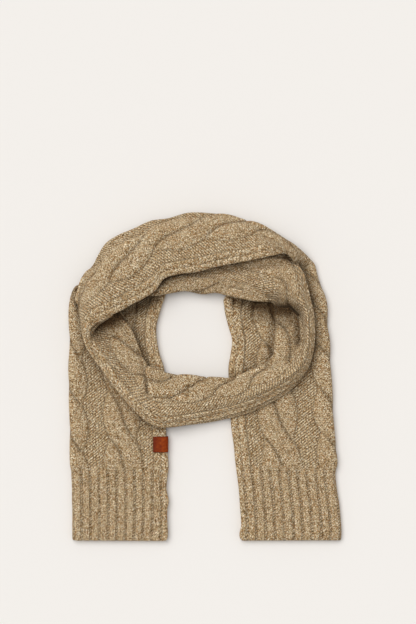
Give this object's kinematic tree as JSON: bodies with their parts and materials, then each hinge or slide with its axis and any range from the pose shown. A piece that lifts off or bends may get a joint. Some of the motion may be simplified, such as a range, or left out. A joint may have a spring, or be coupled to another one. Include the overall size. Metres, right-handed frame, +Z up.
{
  "type": "knit scarf",
  "caption": "Cable-knit wool scarf, doubled lengthwise, wound into a loop and laid flat with both ribbed ends hanging side by side.",
  "frame": {"origin": "middle of the footprint, on the surface the scarf lies on", "axes": "+Z up from the surface, +Y from the ribbed ends towards the loop, +X towards the right-hand end"},
  "size_m": [0.413, 0.4946, 0.0491],
  "materials": {
    "beige_wool": "matte beige marl wool knit",
    "tan_leather": "smooth saddle-tan leather with a soft shine"
  },
  "bodies": {
    "root": {"left_tail": "beige_wool", "right_tail": "beige_wool", "back_band": "beige_wool", "front_swath": "beige_wool", "top_swath": "beige_wool", "leather_tab": "tan_leather"}
  },
  "joints": []
}
